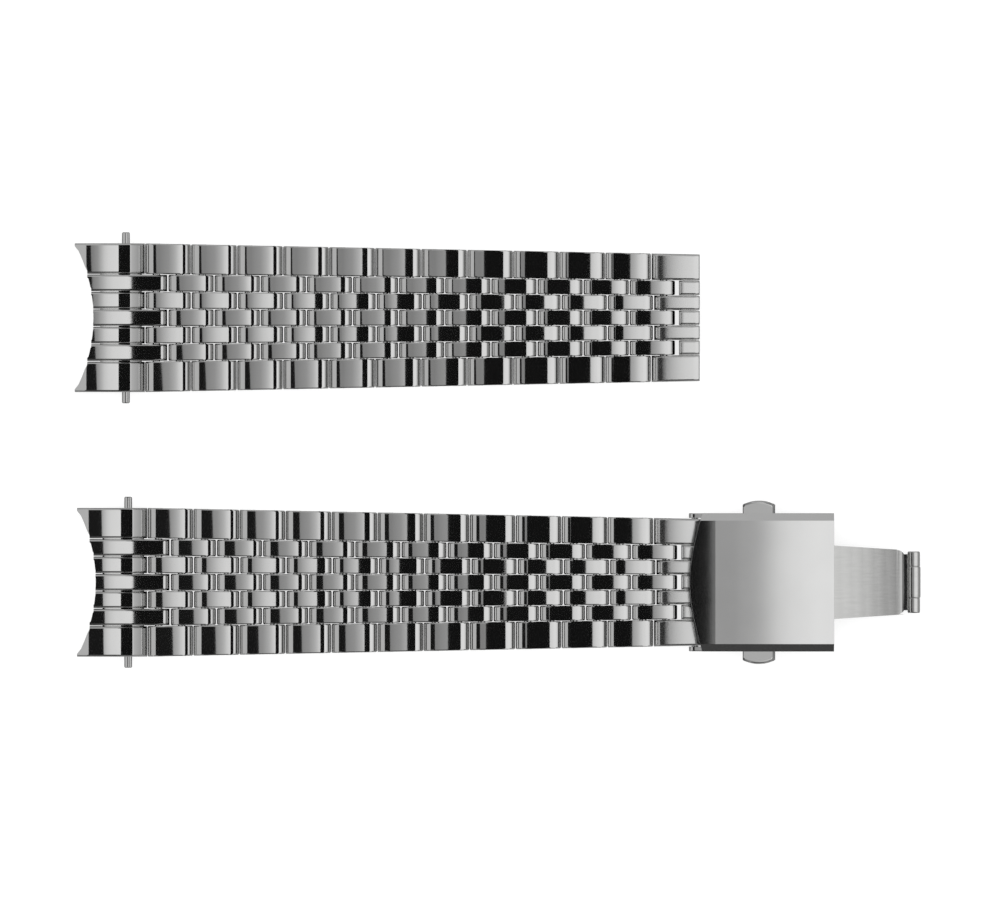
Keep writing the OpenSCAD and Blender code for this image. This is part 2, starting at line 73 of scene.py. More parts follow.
# The clasp's curve and its places, measured from the cross pin
BLADE_HINGE, COVER_HINGE, TUBE_REACH, TUBE_MID_R = 2.23, 17.43, 29.3, 0.87
ARCH_R, LOWEST = 58, 0.02  # radius of the curve, and the clasp's least height
ARCH_U = (BLADE_HINGE + TUBE_REACH) / 2
ARCH_Z = LOWEST - math.sqrt(ARCH_R**2 - ((TUBE_REACH - BLADE_HINGE) / 2) ** 2)
COVER_W, INNER_ROOM, COVER_RIGHT = 18.5, 8.6, 18.585
WALL_LOW, PLATE_LOW, PLATE_TOP = 0.1, 3.4, 4.3
BUTTON_U, BUTTON_L, BUTTON_H, BUTTON_MID = 8.81, 4.12, 2.3, 2.15

# Where both halves lie, so that the whole set is centred along X
SPACING, SHIFT = 35.4, 0.31
CORNER = CASE_REACH + CASE_R - math.sqrt(CASE_R**2 - (END_LINK_W / 2) ** 2)
BAR_X = (CORNER - SHIFT - CROSS_S - TUBE_REACH - TUBE_MID_R) / 2
HALVES = {"12": (BAR_X, SPACING / 2), "06": (BAR_X + SHIFT, -SPACING / 2)}
CLASP = (BAR_X + SHIFT + CROSS_S, -SPACING / 2, 0)


# Settings
def length(name, description, size):
    """A length among the settings, given in millimetres."""
    return FloatProperty(name=name, description=description, default=size * MM, min=0, unit="LENGTH",
                         precision=5)


def factor(name, description, share):
    """A share between 0 and 1 among the settings."""
    return FloatProperty(name=name, description=description, default=share, min=0, max=1, subtype="FACTOR",
                         precision=4)


def tint(name, description, color):
    """A colour among the settings."""
    return FloatVectorProperty(name=name, description=description, default=color, min=0, max=1,
                               subtype="COLOR")


def mm(value):
    """A length of the settings in millimetres, without the rounding of its storage."""
    return round(value / MM, 4)


class BraceletSteel(PropertyGroup):
    """Colour and roughness of each finish"""
    polished: tint("Polished steel", "Colour of the links and end links", (0.735, 0.735, 0.73))
    polished_rough: factor("Polished roughness", "Roughness of the links and end links", 0.06)
    brushed: tint("Brushed steel", "Colour of the plain brushed pieces", (0.66, 0.66, 0.65))
    brushed_rough: factor("Brushed roughness", "Roughness of the plain brushed pieces", 0.24)
    satin: tint("Satin steel", "Colour of the end pieces", (0.735, 0.735, 0.73))
    satin_rough: factor("Satin roughness", "Roughness of the end pieces", 0.22)
    fine: tint("Fine steel", "Colour of the clasp cover and the buttons", (0.78, 0.78, 0.775))
    fine_rough: factor("Fine roughness", "Roughness of the clasp cover and the buttons", 0.1)
    blade: tint("Blade steel", "Colour of the clasp's blades", (0.72, 0.72, 0.71))
    blade_rough: factor("Blade roughness", "Roughness of the clasp's blades", 0.14)
    spring: tint("Spring steel", "Colour of the coil springs", (0.5, 0.5, 0.5))
    spring_rough: factor("Spring roughness", "Roughness of the coil springs", 0.3)


class BraceletLinks(PropertyGroup):
    """Sizes of the links in the outer and centre rows"""
    height: length("Link height", "Height of a link at the middle of its crown", 2.8)
    side_gap: length("Side gap", "Gap between two neighbouring links of a row", 0.08)
    stretch: factor("Stretch", "How much a link's lower part is stretched along the bracelet", 0.007)
    sway: factor("Sway", "How much the stretch differs from row to row", 0.003)
    outer_stretch: factor("Outer stretch", "Extra stretch of the two outer columns", 0.009)


class BraceletEnds(PropertyGroup):
    """Sizes of the end links and the end pieces"""
    crest: length("Crest height", "Height of an end link at its crest", 4.4)
    hump_r: length("Hump radius", "Radius of an end link's top between its crest and its slope", 11.3)
    finger_r: length("Finger radius", "Radius of an end link's fingers beside the humps", 15.9)
    link_groove: length("End link groove", "Width of the grooves between an end link's columns", 0.12)
    piece_height: length("End piece height", "Height of an end piece", 2.75)
    piece_r: length("End piece radius", "Radius of an end piece's top along the bracelet", 22)
    piece_groove: length("End piece groove", "Width of the grooves between an end piece's columns", 0.08)


class BraceletClasp(PropertyGroup):
    """Sizes of the clasp's cover, blades and buttons"""
    bevel: length("Bevel width", "Width of the bevel along the cover's long edges", 1.0)
    bevel_drop: length("Bevel drop", "Drop of the bevel along the cover's long edges", 0.65)
    window_play: length("Window play", "Gap around a button in the cover's wall", 0.06)
    blade_edge: length("Blade edge", "Width of the rounding along the blades' edges", 0.05)
    button_out: length("Button reach", "How far a button stands out of the cover", 1.66)
    button_r: length("Button radius", "Radius of a button's face", 4.3)


class BraceletStage(PropertyGroup):
    """Camera and floor"""
    view_width: length("View width", "Width of the view on the floor", 133.1)
    lens: FloatProperty(name="Lens", description="Focal length in millimetres", default=1000, min=1,
                        unit="CAMERA")
    floor: tint("Floor", "Colour of the floor that the steel reflects", (0.35, 0.35, 0.35))
    floor_glow: factor("Floor glow", "Light that the floor sends to the camera", 0.8)


class BraceletSettings(PropertyGroup):
    """All settings of the bracelet"""
    steel: PointerProperty(name="Steel", description="Colours and roughness", type=BraceletSteel)
    links: PointerProperty(name="Links", description="Sizes of the links", type=BraceletLinks)
    ends: PointerProperty(name="Ends", description="Sizes of both ends of a half", type=BraceletEnds)
    clasp: PointerProperty(name="Clasp", description="Sizes of the clasp", type=BraceletClasp)
    stage: PointerProperty(name="Stage", description="Camera and floor", type=BraceletStage)


# Node helpers
def maths(kind, swapped=False):
    """A method that adds a Math node of a kind, with its values swapped for a reflected operator."""
    def method(self, *others):
        values = (*others, self) if swapped else (self, *others)
        return self.net.get("ShaderNodeMath", 0, dict(enumerate(values)), operation=kind)

    return method


class Socket:
    """A node socket that builds Math nodes from the usual operators."""
    __add__, __radd__ = maths("ADD"), maths("ADD", True)
    __sub__, __rsub__ = maths("SUBTRACT"), maths("SUBTRACT", True)
    __mul__, __rmul__ = maths("MULTIPLY"), maths("MULTIPLY", True)
    __truediv__, __rtruediv__ = maths("DIVIDE"), maths("DIVIDE", True)
    __gt__, __lt__ = maths("GREATER_THAN"), maths("LESS_THAN")
    max, min = maths("MAXIMUM"), maths("MINIMUM")
    abs, atan2 = maths("ABSOLUTE"), maths("ARCTAN2")

    def __init__(self, net, socket):
        self.net, self.socket = net, socket

    def step(self, low, high, to_low=0.0, to_high=1.0):
        """Runs softly from to_low to to_high while this socket runs from low to high."""
        return self.net.get("ShaderNodeMapRange", 0, {"Value": self, "From Min": low, "From Max": high,
                                                      "To Min": to_low, "To Max": to_high},
                            interpolation_type="SMOOTHSTEP")


class Net:
    """A node tree with short ways to add and link its nodes."""

    def __init__(self, tree):
        self.tree = tree

    def node(self, kind, inputs=None, stops=(), **settings):
        """Adds a node, with its settings and ramp stops first and then the values or links of its sockets."""
        node = self.tree.nodes.new(kind)
        for key, value in settings.items():
            setattr(node, key, value)
        if stops:
            elements = node.color_ramp.elements
            while len(elements) < len(stops):
                elements.new(0.5)
            for element, (position, tone) in zip(elements, stops):
                element.position = position
                element.color = (tone, tone, tone, 1)
        for key, value in (inputs or {}).items():
            socket = value.socket if isinstance(value, Socket) else value
            if isinstance(socket, bpy.types.NodeSocket):
                self.tree.links.new(socket, node.inputs[key])
            else:
                node.inputs[key].default_value = value
        return node

    def get(self, kind, output, inputs=None, **settings):
        """Adds a node and gives one of its outputs."""
        return Socket(self, self.node(kind, inputs, **settings).outputs[output])

    def vector(self, kind, inputs):
        return self.get("ShaderNodeVectorMath", 0, inputs, operation=kind)

    def split(self, value):
        """The three numbers of a vector."""
        node = self.node("ShaderNodeSeparateXYZ", {0: value})
        return [Socket(self, output) for output in node.outputs]

    def join(self, x, y, z):
        return self.get("ShaderNodeCombineXYZ", 0, {0: x, 1: y, 2: z})

    def noise(self, place, stretch, detail, roughness):
        """Noise over a place that is first multiplied by a number along each axis."""
        scaled = self.vector("MULTIPLY", {0: place, 1: stretch})
        return self.get("ShaderNodeTexNoise", 0, {"Vector": scaled, "Scale": 1.0, "Detail": detail,
                                                  "Roughness": roughness})


def empty_net(data):
    """The emptied node tree of a material or a world."""
    data.use_nodes = True
    data.node_tree.nodes.clear()
    return Net(data.node_tree)


# Materials: the strength of each finish's lines, whether its polish leans, and its lines in a metre across
FINISHES = {"polished": (0.02, True, 9000), "brushed": (0.25, False, 9000), "satin": (0.12, True, 9000),
            "fine": (0.01, True, 9000), "blade": (0.3, True, 4200), "spring": (0.2, False, 9000)}
LINES_ALONG, LINES_NOISE = 260, (3.0, 0.6)  # lines in a metre along, then a noise's detail and roughness
SCUFFS, SMUDGES = ((900, 5200, 5200), 4.0, 0.7), ((160, 160, 160), 3.0, 0.55)
LINE_SHARE, SCUFF_SHARE, LINE_DEPTH = 0.7, 0.3, 0.00002
SMUDGE_LOW, SMUDGE_HIGH, SMUDGE_TONE, LINE_TONE = 0.3, 0.7, 0.97, 0.6
LINE_VARIES, SMUDGE_VARIES, STEEL_IOR = 0.5, 0.6, 2.5
made_steel = {}


def steel(finish):
    """The steel of a finish, with lines along the bracelet, scuffs and smudges, made at its first use."""
    if finish in made_steel:
        return made_steel[finish]
    settings = bpy.context.scene.bracelet.steel
    color, rough = getattr(settings, finish), getattr(settings, f"{finish}_rough")
    grain, leaning, across = FINISHES[finish]
    mat = bpy.data.materials.new(f"{finish}_steel")
    net = empty_net(mat)
    place = net.get("ShaderNodeTexCoord", "Object")
    lines = net.noise(place, (LINES_ALONG, across, across), *LINES_NOISE)
    scuffs = net.noise(place, *SCUFFS)
    smudge = net.noise(place, *SMUDGES)
    normal = net.get("ShaderNodeNewGeometry", "Normal")
    if leaning:
        lean = net.get("ShaderNodeAttribute", "Fac", attribute_name="lean")
        along = net.get("ShaderNodeVectorTransform", 0, {0: (1, 0, 0)}, vector_type="VECTOR",
                        convert_from="OBJECT", convert_to="WORLD")
        tilt = net.vector("SCALE", {0: along, "Scale": lean})
        normal = net.vector("NORMALIZE", {0: net.vector("ADD", {0: normal, 1: tilt})})
    bump = net.get("ShaderNodeBump", 0, {"Height": lines * LINE_SHARE + scuffs * SCUFF_SHARE,
                                         "Strength": grain, "Distance": LINE_DEPTH, "Normal": normal})
    worn = smudge.step(SMUDGE_LOW, SMUDGE_HIGH, SMUDGE_TONE, 1.0) + (lines - 0.5) * (grain * LINE_TONE)
    varied = (lines - 0.5) * (rough * LINE_VARIES) + (smudge - 0.5) * (rough * SMUDGE_VARIES)
    shade = net.node("ShaderNodeBsdfPrincipled", {
        "Metallic": 1.0, "IOR": STEEL_IOR, "Normal": bump, "Roughness": varied + rough,
        "Base Color": net.vector("SCALE", {0: tuple(color), "Scale": worn})})
    net.node("ShaderNodeOutputMaterial", {"Surface": shade.outputs[0]})
    made_steel[finish] = mat
    return mat


# Mesh helpers
def new_object(name, mesh, mat):
    """An object of a mesh with one material, in the scene."""
    obj = bpy.data.objects.new(name, mesh)
    bpy.context.collection.objects.link(obj)
    mesh.materials.append(mat)
    return obj


def smooth(mesh, angle):
    """Shades the mesh smooth between its edges sharper than the angle."""
    bm = bmesh.new()
    bm.from_mesh(mesh)
    for face in bm.faces:
        face.smooth = True
    for edge in bm.edges:
        edge.smooth = len(edge.link_faces) == 2 and edge.calc_face_angle(0) < math.radians(angle)
    bm.to_mesh(mesh)
    bm.free()


def loft(name, rings):
    """A closed solid through rings of points, given in order along its length."""
    bm = bmesh.new()
    loops = [[bm.verts.new(p) for p in ring] for ring in rings]
    n = len(loops[0])
    for a, b in zip(loops, loops[1:]):
        for i in range(n):
            bm.faces.new([a[i], a[(i + 1) % n], b[(i + 1) % n], b[i]])
    bm.faces.new(list(reversed(loops[0])))
    bm.faces.new(loops[-1])
    bmesh.ops.remove_doubles(bm, verts=bm.verts, dist=WELD)
    bmesh.ops.recalc_face_normals(bm, faces=bm.faces)
    mesh = bpy.data.meshes.new(name)
    bm.to_mesh(mesh)
    bm.free()
    return bpy.data.objects.new(name, mesh)


def turned_rod(profile, along, z):
    """A turned piece across the bracelet from (place across, radius) pairs."""
    turns = [2 * math.pi * i / ROD_SIDES for i in range(ROD_SIDES)]
    return loft("turned", [[(along + r * math.cos(a), y, z + r * math.sin(a)) for a in turns]
                           for y, r in profile])


def rod(along, z, r, reach=THROUGH):
    """A round rod across the bracelet, which reaches as far on both sides."""
    return turned_rod([(-reach, r), (reach, r)], along, z)


def block(low, high):
    """A box between two opposite corners."""
    x0, y0, z0 = low
    x1, y1, z1 = high
    return loft("block", [[(x, y0, z0), (x, y1, z0), (x, y1, z1), (x, y0, z1)] for x in (x0, x1)])


def extrusion(name, ring, width):
    """A ring of (along, height) points made a solid across the bracelet's middle."""
    return loft(name, [[(x, y, z) for x, z in ring] for y in (-width / 2, width / 2)])


def cut(obj, tools):
    """Cuts each tool out of an object, and deletes the tools."""
    bpy.context.collection.objects.link(obj)
    for tool in tools:
        bpy.context.collection.objects.link(tool)
        mod = obj.modifiers.new("cut", "BOOLEAN")
        mod.operation, mod.object, mod.solver = "DIFFERENCE", tool, "EXACT"
    mesh = plain_mesh(obj)
    for o in [obj, *tools]:
        bpy.data.objects.remove(o)
    return bpy.data.objects.new("cut", mesh)


def plain_mesh(obj):
    """An object's mesh with its modifiers applied."""
    return bpy.data.meshes.new_from_object(obj.evaluated_get(bpy.context.evaluated_depsgraph_get()))


def merge(name, parts, place, angle, finish):
    """Joins meshes into one object, moves them to their place and turns millimetres into metres."""
    bm = bmesh.new()
    for part in parts:
        bm.from_mesh(part.data)
        bpy.data.objects.remove(part)
    bmesh.ops.transform(bm, matrix=Matrix.Scale(MM, 4) @ Matrix.Translation(place), verts=bm.verts)
    mesh = bpy.data.meshes.new(name)
    bm.to_mesh(mesh)
    bm.free()
    smooth(mesh, angle)
    return new_object(name, mesh, steel(finish))


def stand_for(obj, node, body=None):
    """Lets a finished piece take a CAD node's place, and ride on it or on the body that is named."""
    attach(obj, body or node)
    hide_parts(node)


def arc(x0, z0, turn0, x1, turn1, steps):
    """Points of an arc that starts at (x0, z0), with its tilt running from turn0 to turn1 degrees at x1."""
    a, b = math.radians(turn0), math.radians(turn1)
    r = (x1 - x0) / (math.sin(b) - math.sin(a))
    return [(x0 + r * (math.sin(t) - math.sin(a)), z0 - r * (math.cos(a) - math.cos(t)))
            for t in [a + (b - a) * i / steps for i in range(1, steps + 1)]]


def polyline(points, x):
    """The height of a row of points at x, level past its last point."""
    for (xa, za), (xb, zb) in zip(points, points[1:]):
        if x <= xb:
            return za + (zb - za) * (x - xa) / (xb - xa)
    return points[-1][1]


# Link rows, whose side profile runs from the crown over two shoulders to the round end
FACET = 24  # degrees: edges sharper than this stay sharp, except on the blades
CROWN_END, CROWN_STEPS, CROWN_BEND, CROWN_FALL = 2.03, 20, 0.024, 0.00067

# Arcs of the shoulders: first tilt, end along the link, last tilt and steps
SHOULDERS = ((15.6, 2.44, 25, 6), (31, 2.76, 53, 6), (53, PITCH / 2 + LINK_R, 90, 7))
ROUND_STEPS, DRAW_START, DRAW_RUN = 8, 2.2, 0.6
LINK_BEVEL = [(0.0, 0.14), (0.05, 0.045), (0.15, 0.0), (0.22, 0.0)]  # place across and draw-in
STRETCH_FULL, STRETCH_GONE = 1.9, 2.3  # heights between which the stretch fades out
LEAN_FROM, LEAN_TO = 1.3, 1.9  # distances from a link's middle between which the lean fades out
MIDDLE_LEAN = 4  # degrees by which the middle columns' crowns lean
ROW_SHIFT, ROW_DRIFT, SWAY_TURN, PIN_SIDES, PIN_OUT = 0.02, 0.0023, 2.4, 40, 0.03


def link_profile(inset, height):
    """Points of a link's side, drawn in by inset: a nearly flat crown, two shoulders and round ends."""
    half = [(x, height - CROWN_BEND * x**2 - CROWN_FALL * x**6)
            for x in [CROWN_END * i / CROWN_STEPS for i in range(CROWN_STEPS + 1)]]
    for turn0, end, turn1, steps in SHOULDERS:
        half += arc(*half[-1], turn0, end, turn1, steps)
    low = math.acos(-PIN_Z / LINK_R)
    half += [(PITCH / 2 + LINK_R * math.sin(a), PIN_Z + LINK_R * math.cos(a))
             for a in [math.pi / 2 + (low - math.pi / 2) * i / ROUND_STEPS for i in range(ROUND_STEPS + 1)]]
    half = [(x - inset * min(1, max(0, (x - DRAW_START) / DRAW_RUN)), max(z - inset if z > PIN_Z else z, 0))
            for x, z in half]
    return [(-x, z) for x, z in reversed(half[1:])] + half


def blank_link(height):
    """A link two millimetres wide whose side bevels are kept when it is widened."""
    rings = [[(x, -1 + y, z) for x, z in link_profile(i, height)] for y, i in LINK_BEVEL]
    rings += [[(x, 1 - y, z) for x, z in link_profile(i, height)] for y, i in reversed(LINK_BEVEL)]
    return loft("link", rings)


def row_nodes(gap, outer_stretch):
    """Geometry Nodes that build one row from a blank link: copies, widths, taper, place and pins."""
    tree = bpy.data.node_groups.new("bracelet_row", "GeometryNodeTree")
    sockets = tree.interface
    sockets.new_socket("Geometry", in_out="INPUT", socket_type="NodeSocketGeometry")
    for name in ("Middle", "First Column", "Links", "Place X", "Place Y", "Pins", "Stretch"):
        sockets.new_socket(name, in_out="INPUT", socket_type="NodeSocketFloat")
    sockets.new_socket("Material", in_out="INPUT", socket_type="NodeSocketMaterial")
    sockets.new_socket("Geometry", in_out="OUTPUT", socket_type="NodeSocketGeometry")
    net = Net(tree)
    value = {s.name: Socket(net, s) for s in net.node("NodeGroupInput").outputs}
    middle_s, first, inner_row = value["Middle"], value["First Column"], 1.0 - value["First Column"]

    # One point for each link, which carries its share of the width and its own stretch and shift
    count = net.get("FunctionNodeFloatToInt", 0, {0: value["Links"]})
    points = net.get("GeometryNodeMeshLine", 0, {"Count": count, "Offset": (0, 0, 0)})
    column = net.get("GeometryNodeInputIndex", 0) * 2.0 + first
    low = ((column - 1.0) * INNER_SHARE + OUTER_SHARE) * (column > 0.5)
    inner_high = column * INNER_SHARE + OUTER_SHARE
    last = column > COLUMNS - 1.5
    middle = (column > 1.5) * (column < COLUMNS - 2.5) * inner_row
    fields = {"share_low": low, "share_high": inner_high + (1.0 - inner_high) * last, "middle": middle,
              "stretch": value["Stretch"] + (last + (column < 0.5)).min(1.0) * outer_stretch,
              "shift": (middle * 2.0 - 1.0) * inner_row * middle_s * ROW_DRIFT + ROW_SHIFT,
              "gap_low": (column > 0.5) * (gap / 2), "gap_high": (1.0 - last) * (gap / 2)}

    def stored(geometry, name, field):
        return net.get("GeometryNodeStoreNamedAttribute", 0,
                       {"Geometry": geometry, "Name": name, "Value": field},
                       data_type="FLOAT", domain="POINT")

    def kept(name):
        return net.get("GeometryNodeInputNamedAttribute", 0, {"Name": name}, data_type="FLOAT")

    for name, field in fields.items():
        points = stored(points, name, field)
    copies = net.get("GeometryNodeInstanceOnPoints", 0, {"Points": points, "Instance": value["Geometry"]})
    links = net.get("GeometryNodeRealizeInstances", 0, {0: copies})

    # Each link is stretched along, and widened to its share of the tapering row
    x, y, z = net.split(net.get("GeometryNodeInputPosition", 0))
    lean = kept("middle") * x.abs().step(LEAN_FROM, LEAN_TO, math.tan(math.radians(MIDDLE_LEAN)), 0.0)
    links = stored(links, "lean", lean)
    stretched = kept("stretch") * z.step(STRETCH_FULL, STRETCH_GONE, 1.0, 0.0) + 1.0
    along = x * stretched + middle_s + kept("shift")
    width = END_LINK_W - (along - TAPER_START).max(0.0) * TAPER
    inset = 1.0 - y.abs()
    y_low = (kept("share_low") - 0.5) * width + kept("gap_low") + inset
    y_high = (kept("share_high") - 0.5) * width - kept("gap_high") - inset
    across = y_low + (y_high - y_low) * (y > 0.0)
    row = [net.get("GeometryNodeSetPosition", 0, {
        "Geometry": links,
        "Position": net.join((along + value["Place X"]) * MM, (across + value["Place Y"]) * MM, z * MM)})]
    for side in (-1, 1):
        s = middle_s + side * PITCH / 2
        pin_l = END_LINK_W - (s - TAPER_START).max(0.0) * TAPER + PIN_OUT
        pin = net.get("GeometryNodeMeshCylinder", 0, {"Vertices": PIN_SIDES, "Radius": PIN_R * MM,
                                                      "Depth": pin_l * MM})
        placed = net.get("GeometryNodeTransform", 0, {
            "Geometry": pin, "Rotation": (math.pi / 2, 0, 0),
            "Translation": net.join((s + value["Place X"]) * MM, value["Place Y"] * MM, PIN_Z * MM)})
        row.append(net.get("GeometryNodeSwitch", 0, {"Switch": value["Pins"] > 0.5, "True": placed},
                           input_type="GEOMETRY"))
    whole = net.node("GeometryNodeJoinGeometry")
    for part in row:
        tree.links.new(part.socket, whole.inputs[0])
    done = net.get("GeometryNodeRealizeInstances", 0, {0: whole.outputs[0]})
    dressed = net.get("GeometryNodeSetMaterial", 0, {"Geometry": done, "Material": value["Material"]})
    net.node("NodeGroupOutput", {0: dressed})
    return tree


def build_rows(settings):
    """The outer rows with their pins, and the centre rows, whose links have holes for those pins."""
    tree = row_nodes(mm(settings.side_gap), settings.outer_stretch)
    ids = {s.name: s.identifier for s in tree.interface.items_tree if s.in_out == "INPUT"}
    height = mm(settings.height)
    solid = blank_link(height)
    holed = cut(blank_link(height), [rod(side * PITCH / 2, PIN_Z, PIN_R + PIN_PLAY) for side in (-1, 1)])
    for blank in (solid, holed):
        smooth(blank.data, FACET)
    for half, (x0, y0) in HALVES.items():
        for k in range(1, 2 * ROWS + 1):
            outer = k % 2
            node = f"{'outer' if outer else 'centre'}_row_{half}_{(k + 1) // 2:02d}"
            obj = bpy.data.objects.new(f"{node}_links", (solid if outer else holed).data.copy())
            bpy.context.collection.objects.link(obj)
            mod = obj.modifiers.new("row", "NODES")
            mod.node_group = tree
            given = {"Middle": FIRST_PIN + (k - 0.5) * PITCH, "First Column": 0.0 if outer else 1.0,
                     "Links": float(COLUMNS // 2 + outer), "Place X": x0, "Place Y": y0, "Pins": float(outer),
                     "Stretch": settings.sway * math.sin(SWAY_TURN * k + y0) + settings.stretch,
                     "Material": steel("polished")}
            for name, value in given.items():
                mod[ids[name]] = value
            mesh = plain_mesh(obj)
            obj.modifiers.clear()
            obj.data = mesh
            stand_for(obj, node)


# Solid pieces with columns
COLUMN_BEVEL = ((0.0, 0.3), (0.06, 0.16), (0.15, 0.06), (0.28, 0.0), (0.38, 0.0))  # place across and draw-in


def row_w(s):
    """Width of the bracelet at a place along it."""
    return END_LINK_W - TAPER * max(0, s - TAPER_START)


def edge_y(i, s):
    """Place across of the edge before column i, at a place along the bracelet."""
    share = 0 if i == 0 else 1 if i == COLUMNS else OUTER_SHARE + (i - 1) * INNER_SHARE
    return (share - 0.5) * row_w(s)


def column_part(i, profile, groove):
    """One column of a solid piece: a side profile swept across, drawn in at both of its edges.
    profile gives (x, z) points from left to right for a draw-in, a share across and a column."""
    marks = [(0, y, d) for y, d in COLUMN_BEVEL] + [(m / 4, 0, 0) for m in (1, 2, 3)]
    marks += [(1, -y, d) for y, d in reversed(COLUMN_BEVEL)]
    rings = []
    for share, step, draw in marks:
        ring = []
        for x, z in profile(draw, share, i):
            low = edge_y(i, x) + (groove / 2 if i else 0)
            high = edge_y(i + 1, x) - (groove / 2 if i < COLUMNS - 1 else 0)
            ring.append((x, low + (high - low) * share + step, z))
        rings.append(ring)
    return loft("column", rings)


def drawn(z, draw):
    """A height drawn in, less and less towards the pins' height."""
    return max(z - draw * min(1, max(0, (z - PIN_Z) / DRAW_RUN)), 0.0)


# End links, whose left ends fall from the crest by depths at places along
CREST_S = -3.83
CREST_FALL = [(-6.95, 1.03), (-5.5, 0.19), (-5.42, 0.145), (-5.3, 0.12), (-5.1, 0.086), (-4.8, 0.05),
              (-4.4, 0.017), (-4.1, 0.004), (CREST_S, 0)]

# Their humps: an arc up to a facet, then a steep slope and a lip, as places along and heights
HUMP_S, HUMP_STEPS = -0.84, 9
HUMP_SLOPE = [(0.5, 3.5), (0.6, 3.463), (0.66, 3.43), (0.76, 3.355), (1.9, 2.36), (2.03, 2.23), (2.16, 2.06),
              (2.32, 1.84), (2.44, 1.6), (2.5, 1.3)]

# Their fingers between the humps, which bend into the slope down to the first pin
FINGER_START, FINGER_STEP, FINGER_COUNT = 0.35, 0.4, 22
FINGER_S, FINGER_BEND, FINGER_TURN, BEND_SLOPE, END_SLOPE = 0.3, 1.6, 0.012, 0.269, 0.312
FINGER_ROUND, FINGER_UNDERCUT = [math.radians(38 + 7 * i) for i in range(17)], 0.3
CORE_W, CORE_INSET, CORE_LEFT, CORE_RIGHT = 18, 0.5, -CASE_REACH + 0.9, 2.1
BAR_PLAY = 0.05


def fingers(crest, radius):
    """Top of a finger: an arc from the crest that turns slowly into the slope down to the first pin."""
    def height(s):
        z = crest - radius + math.sqrt(radius**2 - (min(s, FINGER_S) - CREST_S) ** 2)
        bend = max(0, min(s, FINGER_BEND) - FINGER_S)
        return z - bend * (BEND_SLOPE + FINGER_TURN * bend) - max(0, s - FINGER_BEND) * END_SLOPE

    places = [CREST_S + FINGER_START + FINGER_STEP * i for i in range(FINGER_COUNT)]
    return [(s, height(s)) for s in places] + [
        (FIRST_PIN + LINK_R * math.sin(a), PIN_Z + LINK_R * math.cos(a)) for a in FINGER_ROUND]


def humps(crest, radius):
    """Top of a hump: an arc from the crest, then a facet, the steep slope and the lip."""
    steps = [(HUMP_S - CREST_S) * n / HUMP_STEPS for n in range(1, HUMP_STEPS + 1)]
    return [(CREST_S + d, crest - radius + math.sqrt(radius**2 - d * d)) for d in steps] + HUMP_SLOPE


def build_end_links(settings):
    """Each end link is seven columns on a core, bored for its spring bar and its first pin."""
    crest, groove = mm(settings.crest), mm(settings.link_groove)
    left_top = [(x, crest - fall) for x, fall in CREST_FALL]
    tops = humps(crest, mm(settings.hump_r)), fingers(crest, mm(settings.finger_r))

    def profile(draw, share, i):
        y = edge_y(i, 0) + (edge_y(i + 1, 0) - edge_y(i, 0)) * share
        left = math.sqrt(CASE_R**2 - y * y) - CASE_REACH - CASE_R
        top = [(max(x, left), z if x > left else polyline(left_top, left)) for x, z in left_top + tops[i % 2]]
        low_right = top[-1][0] - FINGER_UNDERCUT * (i % 2)
        return [(left, 0.0)] + [(x, drawn(z, draw)) for x, z in top] + [(low_right, 0.0)]

    for half, (x0, y0) in HALVES.items():
        parts = []
        for i in range(COLUMNS):
            tools = [rod(0, BAR_Z, BAR_R + BAR_PLAY)]
            if i % 2:
                tools.append(rod(FIRST_PIN, PIN_Z, PIN_R + PIN_PLAY))
            parts.append(cut(column_part(i, profile, groove), tools))
        top = [(x, z - CORE_INSET) for x, z in left_top + tops[0] if CORE_LEFT < x < CORE_RIGHT]
        ring = [(CORE_LEFT, 0.0), (CORE_LEFT, top[0][1])] + top + [(CORE_RIGHT, 0.0)]
        parts.append(cut(extrusion("core", ring, CORE_W), [rod(0, BAR_Z, BAR_R + BAR_PLAY)]))
        obj = merge(f"end_link_{half}_shape", parts, (x0, y0, 0), FACET, "polished")
        stand_for(obj, f"end_link_{half}", "end_links")


# End pieces: knuckles between the last links, pockets beside them and a top that rounds along the bracelet
PIECE_TOP_S = LAST_PIN + 0.1  # where the top's arc is highest
POCKET_S, POCKET_TOP = LAST_PIN + LINK_R + 0.6, [(0, 2.3), (0.06, 2.5), (0.2, 2.6)]
OUTER_KNUCKLE, INNER_KNUCKLE = -0.16, 0.17  # place of a knuckle's middle, measured from the last pin
KNUCKLE_ROUND = [math.radians(-150 + 11 * n) for n in range(11)] + [math.radians(-37)]
KNUCKLE_TOP = [(0.06, 2.53), (0.12, 2.575), (0.19, 2.606), (0.49, 2.686), (0.74, 2.726), (0.94, 2.743)]
TOP_STEPS, TOP_END = 8, 0.42
PIECE_LIP = [(0.3, 0.06), (0.14, 0.1), (0.04, 0.19), (0, 0.3)]  # distance from the end and drop
PIECE_CORE_W, PIECE_CORE_INSET, PIECE_CORE_LEFT_Z, PIECE_CORE_RIGHT_Z = 15, 0.3, 2.2, 1.9
CROSS_R, END_PIN_OUT = 0.5, 0.01
NOTCH_LOW, NOTCH_HIGH = (END_S - 2.0, -4.6, -1), (END_S + 1, 4.6, 1.92)  # corners of the tube's notch


